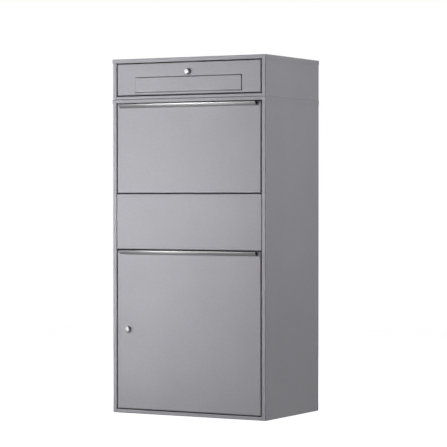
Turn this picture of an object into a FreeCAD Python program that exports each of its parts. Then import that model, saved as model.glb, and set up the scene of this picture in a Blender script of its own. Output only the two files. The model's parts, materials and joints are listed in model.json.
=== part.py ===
import FreeCAD, Part
import math
import os

# Free-standing parcel drop box in folded sheet steel. A letter box with its own roof stands on a
# taller parcel box. The letter box has a drop-down door with a slot flap in it. The parcel box has
# a tilting flap that carries a tray, and below it a side-hung door. Millimetres, +Z up, the front
# faces -Y. The origin is on the floor, at the middle of the body.

# ---- Driving dimensions -------------------------------------------------------------------------
HEIGHT = 950.0
WIDTH = 465.0
DEPTH = 307.0
SHEET = 1.2                   # steel sheet
BEND_RADIUS = 0.6             # inside of every fold
GAP = 2.5                     # between a door and the frame around it
BORDER = 12.0                 # front return of a side panel
LIP_DEPTH = 16.5              # return behind the border, beside the doors
PAN_DEPTH = 15.0              # depth of a door's folded edge

PARCEL_BOX_TOP = 841.5
LID_FLANGE = 9.5              # front and side flange of the parcel box's lid
ROOF_FLANGE = 11.0
BASE_LIP = 10.0               # height of the base's front lip
MAIL_FLOOR_LIP = 8.5
LID_LIP = 10.0                # stiffening lip behind a lid's front flange
BLANK_PANEL_TOP_FOLD = 8.0
BLANK_PANEL_PLAY = 0.3
BLANK_PANEL_LOW = 440.5
BLANK_PANEL_HIGH = 588.5
BACK_RETURN = 15.0

# ---- Places worked out from them ----------------------------------------------------------------
FRONT = -DEPTH / 2
BACK = DEPTH / 2
SIDE = WIDTH / 2
MOUTH = SIDE - BORDER         # half the opening between the two borders
DOOR_HALF = MOUTH - GAP       # half of each door's width
WALL_IN = SIDE - SHEET
BACK_IN = BACK - SHEET
FOLD = BEND_RADIUS + SHEET    # outside of every fold

DOOR_LOW = BASE_LIP + GAP
DOOR_HIGH = BLANK_PANEL_LOW - GAP
FLAP_LOW = BLANK_PANEL_HIGH + GAP
FLAP_HIGH = PARCEL_BOX_TOP - LID_FLANGE - GAP
MAIL_FLOOR_TOP = PARCEL_BOX_TOP + MAIL_FLOOR_LIP
MAIL_DOOR_LOW = MAIL_FLOOR_TOP + GAP
MAIL_DOOR_HIGH = HEIGHT - ROOF_FLANGE - GAP

# ---- Pivots of the three doors ------------------------------------------------------------------
PIVOT_IN = 4.0                # behind the front face
PIVOT_EDGE = 5.0              # from the door's own edge
PIN_R = 2.0
RUNNING = 0.05                # radial clearance of everything that turns
PIN_HEAD_R = 2.7
PIN_HEAD = 2.0
PIN_REACH = 9.0               # length of pin beyond the lip's face
SPACER_R = 3.5
SPACER_PLAY = 0.1
PIVOT_Y = FRONT + PIVOT_IN
FLAP_PIVOT_Z = FLAP_LOW + PIVOT_EDGE
MAIL_PIVOT_Z = MAIL_DOOR_LOW + PIVOT_EDGE
DOOR_PIVOT_X = DOOR_HALF - PIVOT_EDGE

# ---- Stops for the flap, the door and the tray --------------------------------------------------
STOP_WIDTH = 14.0
STOP_HEIGHT = 14.0
STOP_WELD_DEPTH = 12.0        # how far the bracket runs along the inside of the lip
BUFFER_R = 4.0
BUFFER_THICK = 2.2
BUFFER_PLAY = 0.2
BUFFER_IN = 2.6               # from the door's edge to the buffer's middle
FLAP_STOP_Z = FLAP_HIGH - 12.0
DOOR_STOP_Z = (60.0, 390.0)
STUD_R = 3.0
STUD_COLLAR_R = 5.0
STUD_COLLAR = 2.0
STUD_OVERLAP = 8.0            # how far a stud reaches in over the tray
SLEEVE_R = 6.0
SLEEVE_LENGTH = 10.0
SLEEVE_PLAY = 0.5             # between a sleeve and the tray of the open flap
STUD_ALONG = 240.0            # along the tray, from the flap's pivot

# ---- Letter slot and its flap -------------------------------------------------------------------
SLOT_FLAP_WIDTH = 322.0
SLOT_FLAP_LOW = 859.5
SLOT_FLAP_HIGH = 899.0
SLOT_GAP = 1.3
SLOT_FLAP_PROUD = 1.6
SLOT_TOP_RETURN = 6.0
SLOT_BOTTOM_LIP = 5.0
SLOT_EAR = 8.0
EAR_CORNER_R = 2.0
ROD_R = 1.5
ROD_BELOW_TOP = 4.0
ROD_IN = 3.0
ROD_OVERHANG = 4.0            # rod beyond each end of the slot
ROD_BRACKET = 14.0            # height of the angles that hold the rod
ROD_BRACKET_FOOT = 12.0
ROD_BRACKET_OUT = 9.0
ROD_BRACKET_PLAY = 1.0        # between the slot's end and an angle
SLOT_STOP_HALF = 150.0
SLOT_STOP_PLAY = 0.3
SLOT_STOP_OVERLAP = 3.0       # height of the stop strip above the flap's lower edge
ROD_Y = FRONT + ROD_IN
ROD_Z = SLOT_FLAP_HIGH - ROD_BELOW_TOP
SLOT_HALF = SLOT_FLAP_WIDTH / 2 + SLOT_GAP

# ---- Cam locks ----------------------------------------------------------------------------------
MAIL_LOCK_X = 0.0
MAIL_LOCK_Z = 912.0
DOOR_LOCK_X = -SIDE + 48.5
DOOR_LOCK_Z = 225.0
LOCK_HEAD_R = 9.25
LOCK_FACE_R = 7.5
LOCK_PROUD = 6.5
LOCK_SHANK_R = 8.0
LOCK_SHANK = 16.0
LOCK_NUT_FLATS = 20.0
LOCK_NUT = 3.0
BARREL_PROUD = 0.5            # beyond the head's face
KEYWAY_HALF = 4.0
KEYWAY_DEPTH = 12.0
KEYWAY_LOW = 0.4
KEYWAY_HIGH = 2.0
BARREL_R = 6.0
CAM_FROM = 18.0               # front face of the cam, behind the front of the box
CAM_THICK = 2.0
CAM_WIDTH = 14.0
MAIL_CAM_REACH = 33.0
DOOR_CAM_REACH = 42.0
TAIL_SQUARE = 7.0             # square end of the barrel, which carries the cam
CAM_SCREW_R = 2.0
CAM_SCREW_HEAD_R = 4.5
CAM_SCREW_HEAD = 2.5
CAM_SCREW = 7.0
STRIKE_HALF = 25.0
STRIKE_FOOT = 22.0
STRIKE_OVERLAP = 2.0          # how far the strike hangs below the letter door's upper edge

# ---- Pull handles -------------------------------------------------------------------------------
HANDLE_HALF = SIDE - 25.0
HANDLE_OUT = 13.0             # how far the rim stands in front of the door
HANDLE_DROP = 11.0            # height of the strip, from its rim to its foot on the door
HANDLE_BULGE = 2.6            # how far the strip bows out from a straight line
HANDLE_BELOW_EDGE = 0.5
HANDLE_LEG_TOP = 2.0
CAP_DEPTH = 4.0
CAP_BELOW_RIM = 0.3
CAP_PLAY = 0.05
HANDLE_SCREW_X = (-180.0, -60.0, 60.0, 180.0)
HANDLE_SCREW_BELOW_RIM = 5.0
HANDLE_SCREW_R = 1.5
HANDLE_SCREW_HEAD_R = 3.0
HANDLE_SCREW_HEAD = 2.0

# ---- Tray and cheeks of the parcel flap ---------------------------------------------------------
TRAY_REST_DEG = 58.0          # how steeply the tray hangs while the flap is shut
FLAP_OPEN_DEG = 50.0
TRAY_START = 18.0             # along the tray, from the pivot
TRAY_END = 285.0
TRAY_RISE = 4.0               # top of the tray above the line through the pivot
TRAY_WALL = 25.0
CHEEK_RADIUS = 200.0
CHEEK_FRONT = 2.2             # cheek in front of the pivot
CHEEK_BELOW = 3.2
CHEEK_FLAT = 5.5              # length of the cheek's flat lower edge behind the pivot
TRAY_HALF = DOOR_HALF - 2 * SHEET
FLAP_BOTTOM_FOLD = 9.0

# ---- Fasteners ----------------------------------------------------------------------------------
RIVET_R = 2.0
RIVET_HEAD_R = 3.2
RIVET_HEAD = 1.2
RIVET_MARGIN = 25.0           # from the end of a back panel to its first rivet
RIVET_SPACING = 200.0
MODULE_BOLT_R = 3.0
MODULE_BOLT = 10.0
MODULE_BOLT_HEAD_R = 6.0
MODULE_BOLT_HEAD = 3.0
MODULE_BOLT_HEAD_EDGE_R = 2.0
MODULE_NUT_FLATS = 10.0
MODULE_NUT = 5.0
MODULE_BOLT_XY = [(x, y) for x in (-190.0, 190.0) for y in (-100.0, 110.0)]
WALL_HOLE_R = 4.25
WALL_HOLE_X = 150.0
WALL_HOLE_Z = (120.0, 780.0)
FLOOR_HOLE_R = 5.25
FLOOR_HOLE_X = 180.0
FLOOR_HOLE_Y = 100.0


# ---- Geometry helpers ---------------------------------------------------------------------------
def box(x, y, z):
    """Block between the two ends given for each axis."""
    size = [max(end) - min(end) for end in (x, y, z)]
    return Part.makeBox(*size, FreeCAD.Vector(min(x), min(y), min(z)))


def rod(start, direction, radius, length):
    return Part.makeCylinder(radius, length, FreeCAD.Vector(*start), FreeCAD.Vector(*direction))


def mirrored(shape):
    """The same piece on the other side of the box."""
    return shape.mirror(FreeCAD.Vector(0, 0, 0), FreeCAD.Vector(1, 0, 0))


def pair(shape):
    return Part.makeCompound([shape, mirrored(shape)])


def at_yz(u, v):
    return FreeCAD.Vector(0, u, v)


def at_xy(u, v):
    return FreeCAD.Vector(u, v, 0)


def bend(before, corner, after):
    """Where a fold starts and ends on both faces of the sheet, and the middles of its arcs."""
    into = [c - b for b, c in zip(before, corner)]
    out = [a - c for c, a in zip(corner, after)]
    into = [value / math.hypot(*into) for value in into]
    out = [value / math.hypot(*out) for value in out]
    turn = math.atan2(into[0] * out[1] - into[1] * out[0], into[0] * out[0] + into[1] * out[1])
    side = 1 if turn > 0 else -1
    face_radius = FOLD if turn > 0 else BEND_RADIUS
    tangent = face_radius * math.tan(abs(turn) / 2)
    start = (corner[0] - into[0] * tangent, corner[1] - into[1] * tangent)
    end = (corner[0] + out[0] * tangent, corner[1] + out[1] * tangent)
    centre = (start[0] - into[1] * side * face_radius, start[1] + into[0] * side * face_radius)
    to_corner = [c - m for c, m in zip(corner, centre)]
    to_corner = [value / math.hypot(*to_corner) for value in to_corner]

    def face(depth):
        radius = face_radius - side * depth
        middle = (centre[0] + to_corner[0] * radius, centre[1] + to_corner[1] * radius)
        return [
            (start[0] - into[1] * depth, start[1] + into[0] * depth),
            middle,
            (end[0] - out[1] * depth, end[1] + out[0] * depth),
        ]

    return face(0), face(SHEET)


def folded_sheet(corners, place, extent):
    """Folded sheet. corners is the line of its outer face, with the metal to the left of it."""
    folds = [bend(*corners[i - 1:i + 2]) for i in range(1, len(corners) - 1)]

    def end_point(first, second, where):
        length = math.hypot(second[0] - first[0], second[1] - first[1])
        across = ((first[1] - second[1]) / length, (second[0] - first[0]) / length)
        return (where[0] + across[0] * SHEET, where[1] + across[1] * SHEET)

    outer = [corners[0]] + [point for fold in folds for point in fold[0]] + [corners[-1]]
    inner = (
        [end_point(corners[0], corners[1], corners[0])]
        + [point for fold in folds for point in fold[1]]
        + [end_point(corners[-2], corners[-1], corners[-1])]
    )
    edges = []
    for face in (outer, inner):
        points = [place(*point) for point in face]
        for i in range(0, len(points) - 1, 3):
            edges.append(Part.LineSegment(points[i], points[i + 1]).toShape())
            if i + 3 < len(points):
                edges.append(Part.Arc(points[i + 1], points[i + 2], points[i + 3]).toShape())
    for o, i in ((outer[0], inner[0]), (outer[-1], inner[-1])):
        edges.append(Part.LineSegment(place(*o), place(*i)).toShape())
    wire = Part.Wire(Part.__sortEdges__(edges))
    return Part.Face(wire).extrude(extent)


def flat_plate(points, place, extent):
    """Plate whose outline is straight from point to point."""
    corners = [place(*point) for point in points]
    return Part.Face(Part.makePolygon(corners + corners[:1])).extrude(extent)


def edges_on(shape, axis, value):
    """Edges that lie wholly in one plane across an axis."""
    return [
        edge for edge in shape.Edges
        if all(abs(getattr(vertex.Point, axis) - value) < 1e-6 for vertex in edge.Vertexes)
    ]


def door_pan(half_width, low, high, depth=PAN_DEPTH):
    """Front panel with its four edges folded back."""
    outer = box((-half_width, half_width), (FRONT, FRONT + depth), (low, high))
    outer = outer.makeFillet(FOLD, edges_on(outer, "y", FRONT))
    inside = half_width - SHEET
    inner = box((-inside, inside), (FRONT + SHEET, FRONT + 2 * depth), (low + SHEET, high - SHEET))
    inner = inner.makeFillet(BEND_RADIUS, edges_on(inner, "y", FRONT + SHEET))
    return outer.cut(inner)


def countable(solids):
    """Group of identical fasteners, each its own solid."""
    return Part.makeCompound(solids)


# ---- Cabinet: both boxes ------------------------------------------------------------------------
def right_side(low, high):
    """Side wall with its front border, the lip behind the border, and the return at the back."""
    plan = [
        (MOUTH, FRONT + LIP_DEPTH),
        (MOUTH, FRONT),
        (SIDE, FRONT),
        (SIDE, BACK_IN),
        (SIDE - BACK_RETURN, BACK_IN),
    ]
    wall = folded_sheet(plan, at_xy, FreeCAD.Vector(0, 0, high - low))
    wall.translate(FreeCAD.Vector(0, 0, low))
    return wall


def rivet_heights(low, high):
    """Evenly spaced heights for the rivets of a back panel."""
    count = 2 + int((high - low) / RIVET_SPACING)
    step = (high - low - 2 * RIVET_MARGIN) / (count - 1)
    return [low + RIVET_MARGIN + step * i for i in range(count)]


def back_rivets():
    heights = rivet_heights(0, PARCEL_BOX_TOP) + rivet_heights(PARCEL_BOX_TOP, HEIGHT)
    return [(SIDE - BACK_RETURN / 2, z) for z in heights]


def rivet_holes():
    holes = [rod((x, BACK + 1, z), (0, -1, 0), RIVET_R, 4 * SHEET) for x, z in back_rivets()]
    return Part.makeCompound(holes + [mirrored(hole) for hole in holes])


def back_panel_rivets():
    """Flush at the back, with the spread heads inside."""
    solids = []
    for x, z in back_rivets():
        shank = rod((x, BACK, z), (0, -1, 0), RIVET_R, 2 * SHEET)
        head = rod((x, BACK - 2 * SHEET, z), (0, -1, 0), RIVET_HEAD_R, RIVET_HEAD)
        solids.append(shank.fuse(head))
    return countable(solids + [mirrored(solid) for solid in solids])


def parcel_box_right_side():
    """Lower side wall, with a hole in its lip for the flap's pivot pin."""
    wall = right_side(0, PARCEL_BOX_TOP - SHEET)
    wall = wall.cut(rod((MOUTH - 1, PIVOT_Y, FLAP_PIVOT_Z), (1, 0, 0), PIN_R, 2 + SHEET))
    return wall.cut(rivet_holes())


def mail_box_right_side():
    wall = right_side(PARCEL_BOX_TOP, HEIGHT - SHEET)
    wall = wall.cut(rod((MOUTH - 1, PIVOT_Y, MAIL_PIVOT_Z), (1, 0, 0), PIN_R, 2 + SHEET))
    return wall.cut(rivet_holes())


def back_panel(low, high):
    return box((-SIDE, SIDE), (BACK_IN, BACK), (low, high)).cut(rivet_holes())


def parcel_box_back():
    """Back of the parcel box, with four holes for fixing it to a wall."""
    panel = back_panel(0, PARCEL_BOX_TOP - SHEET)
    for x in (-WALL_HOLE_X, WALL_HOLE_X):
        for z in WALL_HOLE_Z:
            panel = panel.cut(rod((x, BACK + 1, z), (0, -1, 0), WALL_HOLE_R, 2 + SHEET))
    return panel


def floor_tray(bottom, lip):
    """Floor with a folded front lip that the door above it closes against."""
    section = [
        (FRONT + LIP_DEPTH, bottom + lip),
        (FRONT, bottom + lip),
        (FRONT, bottom),
        (BACK_IN, bottom),
    ]
    tray = folded_sheet(section, at_yz, FreeCAD.Vector(2 * MOUTH, 0, 0))
    tray.translate(FreeCAD.Vector(-MOUTH, 0, 0))
    wings = box((-WALL_IN, WALL_IN), (FRONT + LIP_DEPTH, BACK_IN - SHEET), (bottom, bottom + SHEET))
    return tray.fuse(wings).removeSplitter()


def rear_corner_notches(bottom):
    """Clearance in a floor for the rear returns of the two side walls."""
    front_y = BACK_IN - SHEET - BEND_RADIUS
    corner = box((SIDE - BACK_RETURN, SIDE), (front_y, BACK), (bottom - 1, bottom + 5))
    return pair(corner)


def parcel_box_base():
    """Floor of the parcel box, with four holes for bolting it down and one for the door's pin."""
    base = floor_tray(0, BASE_LIP).cut(rear_corner_notches(0))
    base = base.cut(rod((DOOR_PIVOT_X, PIVOT_Y, BASE_LIP + 1), (0, 0, -1), PIN_R, 2 + SHEET))
    for x in (-FLOOR_HOLE_X, FLOOR_HOLE_X):
        for y in (-FLOOR_HOLE_Y, FLOOR_HOLE_Y):
            base = base.cut(rod((x, y, -1), (0, 0, 1), FLOOR_HOLE_R, 2 + SHEET))
    return base


def mail_box_floor():
    floor = floor_tray(PARCEL_BOX_TOP, MAIL_FLOOR_LIP).cut(rear_corner_notches(PARCEL_BOX_TOP))
    return floor.cut(module_bolt_holes())


def cap_lid(top, flange):
    """Lid that reaches over the front and both sides, with a stiffening lip at the front."""
    front = FRONT - SHEET
    side = SIDE + SHEET
    outer = box((-side, side), (front, BACK), (top - flange, top))
    folds = edges_on(outer, "z", top)
    folds = [edge for edge in folds if edge.CenterOfMass.y < BACK - 1]
    folds += [edge for edge in edges_on(outer, "y", front) if abs(edge.CenterOfMass.x) > SIDE]
    outer = outer.makeFillet(FOLD, folds)
    inner = box((-SIDE, SIDE), (FRONT, BACK + 1), (top - flange - 1, top - SHEET))
    low = top - flange
    lip = box((-MOUTH, MOUTH), (FRONT - SHEET / 2, FRONT + LID_LIP), (low, low + SHEET))
    return outer.cut(inner).fuse(lip).removeSplitter()


def parcel_box_lid():
    return cap_lid(PARCEL_BOX_TOP, LID_FLANGE).cut(module_bolt_holes())


def mail_box_roof():
    return cap_lid(HEIGHT, ROOF_FLANGE)


def blank_front_panel():
    """Fixed panel between the flap and the door, with the hole for the door's upper pin."""
    panel = door_pan(MOUTH - BLANK_PANEL_PLAY, BLANK_PANEL_LOW, BLANK_PANEL_HIGH, LIP_DEPTH)
    short_top = box(
        (-DOOR_HALF, DOOR_HALF),
        (FRONT + BLANK_PANEL_TOP_FOLD, BACK),
        (BLANK_PANEL_HIGH - 2 * SHEET, BLANK_PANEL_HIGH + 1),
    )
    panel = panel.cut(short_top)
    return panel.cut(rod((DOOR_PIVOT_X, PIVOT_Y, BLANK_PANEL_LOW - 1), (0, 0, 1), PIN_R, 2 + SHEET))


def module_bolt_holes():
    holes = [
        rod((x, y, PARCEL_BOX_TOP - 2 * SHEET), (0, 0, 1), MODULE_BOLT_R, 4 * SHEET)
        for x, y in MODULE_BOLT_XY
    ]
    return Part.makeCompound(holes)


def module_bolts():
    """Bolts that hold the letter box on the parcel box, with low round heads."""
    seat = PARCEL_BOX_TOP + SHEET
    solids = []
    for x, y in MODULE_BOLT_XY:
        shank = rod((x, y, seat), (0, 0, -1), MODULE_BOLT_R, MODULE_BOLT)
        head = rod((x, y, seat), (0, 0, 1), MODULE_BOLT_HEAD_R, MODULE_BOLT_HEAD)
        rim = edges_on(head, "z", seat + MODULE_BOLT_HEAD)
        head = head.makeFillet(MODULE_BOLT_HEAD_EDGE_R, rim)
        solids.append(shank.fuse(head))
    return countable(solids)


def hexagon_prism(centre, across_flats, thickness, along, place):
    """Six-sided prism about a point of a plane."""
    radius = across_flats / math.sqrt(3)
    corners = []
    for i in range(6):
        angle = math.radians(60 * i)
        corners.append((centre[0] + radius * math.cos(angle), centre[1] + radius * math.sin(angle)))
    return flat_plate(corners, place, along * thickness)


def module_nuts():
    """Nuts of the bolts between the two boxes."""
    low = PARCEL_BOX_TOP - SHEET - MODULE_NUT
    solids = []
    for x, y in MODULE_BOLT_XY:
        nut = hexagon_prism((x, y), MODULE_NUT_FLATS, MODULE_NUT, FreeCAD.Vector(0, 0, 1), at_xy)
        nut.translate(FreeCAD.Vector(0, 0, low))
        solids.append(nut.cut(rod((x, y, low - 1), (0, 0, 1), MODULE_BOLT_R, MODULE_NUT + 2)))
    return countable(solids)


def mail_lock_strike():
    """Angle under the roof that the letter door's cam turns up behind."""
    plate_y = FRONT + CAM_FROM - 2 * SHEET
    section = [
        (plate_y + STRIKE_FOOT, HEIGHT - SHEET),
        (plate_y, HEIGHT - SHEET),
        (plate_y, MAIL_DOOR_HIGH - STRIKE_OVERLAP),
    ]
    strike = folded_sheet(section, at_yz, FreeCAD.Vector(2 * STRIKE_HALF, 0, 0))
    strike.translate(FreeCAD.Vector(-STRIKE_HALF, 0, 0))
    return strike


# ---- Pivot pins and spacers ---------------------------------------------------------------------
def pivot_pin(tip, direction):
    """Pin through a lip, with a head that clears the inside of the lip's fold."""
    shank = PIN_REACH + SHEET + BEND_RADIUS
    under_head = [t + shank * d for t, d in zip(tip, direction)]
    pin = rod(tip, direction, PIN_R, shank)
    return pin.fuse(rod(under_head, direction, PIN_HEAD_R, PIN_HEAD))


def side_pins(z):
    """Pins through the lips of both side walls, for a door that swings about X."""
    return pair(pivot_pin((MOUTH - PIN_REACH, PIVOT_Y, z), (1, 0, 0)))


def ring(start, direction, outer_radius, inner_radius, length):
    return rod(start, direction, outer_radius, length).cut(rod(start, direction, inner_radius, length))


def side_spacers(z):
    """Plastic washers on the pins that keep the door centred in its opening."""
    start = (DOOR_HALF + SPACER_PLAY, PIVOT_Y, z)
    return pair(ring(start, (1, 0, 0), SPACER_R, PIN_R, GAP - SPACER_PLAY))


def parcel_door_pivot_pins():
    """Upper pin through the blank panel, lower pin through the base's lip."""
    upper = pivot_pin((DOOR_PIVOT_X, PIVOT_Y, BLANK_PANEL_LOW - PIN_REACH), (0, 0, 1))
    lower = pivot_pin((DOOR_PIVOT_X, PIVOT_Y, BASE_LIP + PIN_REACH), (0, 0, -1))
    return countable([upper, lower])


def parcel_door_spacers():
    """Plastic washers above and below the door. The lower one carries its weight."""
    thick = GAP - SPACER_PLAY
    upper = (DOOR_PIVOT_X, PIVOT_Y, BLANK_PANEL_LOW)
    lower = (DOOR_PIVOT_X, PIVOT_Y, BASE_LIP)
    return countable([
        ring(upper, (0, 0, -1), SPACER_R, PIN_R, thick),
        ring(lower, (0, 0, 1), SPACER_R, PIN_R, thick),
    ])


# ---- Stops and buffers --------------------------------------------------------------------------
def stop_bracket(z):
    """Angle welded inside the lip, with its face behind the door's folded edge."""
    face_y = FRONT + PAN_DEPTH + BUFFER_THICK
    weld_x = MOUTH + SHEET
    plan = [
        (weld_x - STOP_WIDTH, face_y),
        (weld_x, face_y),
        (weld_x, face_y - STOP_WELD_DEPTH),
    ]
    bracket = folded_sheet(plan, at_xy, FreeCAD.Vector(0, 0, STOP_HEIGHT))
    bracket.translate(FreeCAD.Vector(0, 0, z - STOP_HEIGHT / 2))
    return bracket


def stop_buffer(z):
    start = (DOOR_HALF - BUFFER_IN, FRONT + PAN_DEPTH + BUFFER_PLAY, z)
    return rod(start, (0, 1, 0), BUFFER_R, BUFFER_THICK - BUFFER_PLAY)


def flap_stop_brackets():
    return pair(stop_bracket(FLAP_STOP_Z))


def flap_stop_buffers():
    return pair(stop_buffer(FLAP_STOP_Z))


def door_stop_brackets():
    """Both on the lock side."""
    return countable([mirrored(stop_bracket(z)) for z in DOOR_STOP_Z])


def door_stop_buffers():
    return countable([mirrored(stop_buffer(z)) for z in DOOR_STOP_Z])


def tray_stop_place():
    """Where the tray's side wall meets its stop when the flap is fully open."""
    tilt = math.radians(TRAY_REST_DEG - FLAP_OPEN_DEG)
    above = TRAY_RISE + TRAY_WALL + SLEEVE_R + SLEEVE_PLAY
    y = PIVOT_Y + STUD_ALONG * math.cos(tilt) + above * math.sin(tilt)
    z = FLAP_PIVOT_Z - STUD_ALONG * math.sin(tilt) + above * math.cos(tilt)
    return y, z


def tray_stop_studs():
    y, z = tray_stop_place()
    shank = rod((WALL_IN, y, z), (-1, 0, 0), STUD_R, WALL_IN - TRAY_HALF + STUD_OVERLAP)
    collar = rod((WALL_IN, y, z), (-1, 0, 0), STUD_COLLAR_R, STUD_COLLAR)
    return pair(shank.fuse(collar))


def tray_stop_sleeves():
    """Rubber over the studs, which the tray comes up against."""
    y, z = tray_stop_place()
    start = (TRAY_HALF - STUD_OVERLAP + SLEEVE_LENGTH, y, z)
    return pair(ring(start, (-1, 0, 0), SLEEVE_R, STUD_R, SLEEVE_LENGTH))


# ---- Letter door --------------------------------------------------------------------------------
def lock_hole(x, z):
    return rod((x, FRONT - 1, z), (0, 1, 0), LOCK_SHANK_R, 2 + SHEET)


def pivot_holes_x(z):
    """Running holes in both folded sides of a door that swings about X."""
    hole = rod((DOOR_HALF + 1, PIVOT_Y, z), (-1, 0, 0), PIN_R + RUNNING, 2 + 2 * SHEET)
    return pair(hole)


def mail_door():
    """Drop-down door with the letter slot and the lock's hole."""
    door = door_pan(DOOR_HALF, MAIL_DOOR_LOW, MAIL_DOOR_HIGH)
    slot = box(
        (-SLOT_HALF, SLOT_HALF),
        (FRONT - 1, FRONT + 2 * SHEET),
        (SLOT_FLAP_LOW - SLOT_GAP, SLOT_FLAP_HIGH + SLOT_GAP),
    )
    door = door.cut(slot).cut(lock_hole(MAIL_LOCK_X, MAIL_LOCK_Z))
    return door.cut(pivot_holes_x(MAIL_PIVOT_Z))


def slot_flap_brackets():
    """Two angles behind the door that hold the ends of the flap's rod."""
    inner = SLOT_HALF + ROD_BRACKET_PLAY
    plan = [
        (inner, FRONT + SHEET + ROD_BRACKET_OUT),
        (inner, FRONT + SHEET),
        (inner + ROD_BRACKET_FOOT, FRONT + SHEET),
    ]
    bracket = folded_sheet(plan, at_xy, FreeCAD.Vector(0, 0, ROD_BRACKET))
    bracket.translate(FreeCAD.Vector(0, 0, ROD_Z - ROD_BRACKET / 2))
    hole = rod((inner - 1, ROD_Y, ROD_Z), (1, 0, 0), ROD_R, 2 * ROD_R + SHEET)
    return pair(bracket.cut(hole))


def slot_flap_rod():
    half = SLOT_HALF + ROD_OVERHANG
    return rod((-half, ROD_Y, ROD_Z), (1, 0, 0), ROD_R, 2 * half)


def slot_stop_strip():
    """Strip behind the slot's lower edge that the shut flap rests against."""
    y = FRONT - SLOT_FLAP_PROUD + SLOT_BOTTOM_LIP + SLOT_STOP_PLAY
    low = MAIL_DOOR_LOW + FOLD
    along = (-SLOT_STOP_HALF, SLOT_STOP_HALF)
    foot = box(along, (FRONT + SHEET, y + SHEET), (low, low + SHEET))
    upright = box(along, (y, y + SHEET), (low, SLOT_FLAP_LOW + SLOT_STOP_OVERLAP))
    return foot.fuse(upright).removeSplitter()


def slot_flap():
    """Hanging flap with its top and bottom edges folded back and an ear at each end."""
    face = FRONT - SLOT_FLAP_PROUD
    half = SLOT_FLAP_WIDTH / 2
    section = [
        (face + SLOT_TOP_RETURN, SLOT_FLAP_HIGH),
        (face, SLOT_FLAP_HIGH),
        (face, SLOT_FLAP_LOW),
        (face + SLOT_BOTTOM_LIP, SLOT_FLAP_LOW),
    ]
    flap = folded_sheet(section, at_yz, FreeCAD.Vector(2 * half, 0, 0))
    flap.translate(FreeCAD.Vector(-half, 0, 0))
    ear = box(
        (half - SHEET, half),
        (face + SHEET / 2, face + SLOT_EAR),
        (ROD_Z - ROD_BELOW_TOP, SLOT_FLAP_HIGH - SHEET / 2),
    )
    corners = [edge for edge in edges_on(ear, "y", face + SLOT_EAR) if edge.Length < 2 * SHEET]
    ear = ear.makeFillet(EAR_CORNER_R, corners)
    hole = rod((-half - 1, ROD_Y, ROD_Z), (1, 0, 0), ROD_R + RUNNING, 2 * half + 2)
    return flap.fuse(ear).fuse(mirrored(ear)).cut(hole).removeSplitter()


# ---- Cam locks ----------------------------------------------------------------------------------
def lock_housing(x, z):
    """Tapered head on a round body, bored for the barrel."""
    bore_r = BARREL_R + RUNNING
    head = Part.makeCone(
        LOCK_HEAD_R, LOCK_FACE_R, LOCK_PROUD, FreeCAD.Vector(x, FRONT, z), FreeCAD.Vector(0, -1, 0)
    )
    shank = rod((x, FRONT, z), (0, 1, 0), LOCK_SHANK_R, LOCK_SHANK)
    bore = rod((x, FRONT - LOCK_PROUD - 1, z), (0, 1, 0), bore_r, LOCK_PROUD + LOCK_SHANK + 2)
    return head.fuse(shank).cut(bore)


def lock_nut(x, z):
    """Nut that clamps the housing against the back of the door's face."""
    nut = hexagon_prism(
        (x, z), LOCK_NUT_FLATS, LOCK_NUT, FreeCAD.Vector(0, 1, 0), lambda u, v: FreeCAD.Vector(u, 0, v)
    )
    nut.translate(FreeCAD.Vector(0, FRONT + SHEET, 0))
    return nut.cut(rod((x, FRONT, z), (0, 1, 0), LOCK_SHANK_R, LOCK_SHANK))


def lock_barrel(x, z):
    """Turning barrel with its keyway, and a square tail for the cam."""
    face_y = FRONT - LOCK_PROUD - BARREL_PROUD
    cam_y = FRONT + CAM_FROM
    barrel = rod((x, face_y, z), (0, 1, 0), BARREL_R, cam_y - face_y)
    half = TAIL_SQUARE / 2
    tail = box((x - half, x + half), (cam_y - 1, cam_y + CAM_THICK), (z - half, z + half))
    keyway = box(
        (x - KEYWAY_HALF, x + KEYWAY_HALF),
        (face_y - 1, face_y + KEYWAY_DEPTH),
        (z + KEYWAY_LOW, z + KEYWAY_HIGH),
    )
    thread = rod((x, cam_y + CAM_THICK, z), (0, -1, 0), CAM_SCREW_R, CAM_SCREW + 1)
    return barrel.fuse(tail).cut(keyway).cut(thread).removeSplitter()


def lock_cam(x, z, reach, direction):
    """Flat tongue on the barrel's tail, pointing along the direction."""
    y = FRONT + CAM_FROM
    half = CAM_WIDTH / 2
    side = (-direction[1], direction[0])
    tip = reach - half
    corners = []
    for along, across in ((0, -half), (tip, -half), (tip, half), (0, half)):
        u = x + direction[0] * along + side[0] * across
        v = z + direction[1] * along + side[1] * across
        corners.append((u, v))
    tongue = flat_plate(corners, lambda u, v: FreeCAD.Vector(u, y, v), FreeCAD.Vector(0, CAM_THICK, 0))
    for along in (0, tip):
        centre = (x + direction[0] * along, y, z + direction[1] * along)
        tongue = tongue.fuse(rod(centre, (0, 1, 0), half, CAM_THICK))
    square = TAIL_SQUARE / 2
    hole = box((x - square, x + square), (y - 1, y + CAM_THICK + 1), (z - square, z + square))
    return tongue.cut(hole).removeSplitter()


def lock_cam_screw(x, z):
    y = FRONT + CAM_FROM + CAM_THICK
    shank = rod((x, y, z), (0, -1, 0), CAM_SCREW_R, CAM_SCREW)
    head = rod((x, y, z), (0, 1, 0), CAM_SCREW_HEAD_R, CAM_SCREW_HEAD)
    return shank.fuse(head)


# ---- Pull handles -------------------------------------------------------------------------------
def handle_screw_z(edge_z):
    return edge_z - HANDLE_BELOW_EDGE - HANDLE_SCREW_BELOW_RIM


def handle_screw_holes(edge_z):
    z = handle_screw_z(edge_z)
    holes = [
        rod((x, FRONT - 2 * SHEET, z), (0, 1, 0), HANDLE_SCREW_R, 4 * SHEET) for x in HANDLE_SCREW_X
    ]
    return Part.makeCompound(holes)


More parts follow.
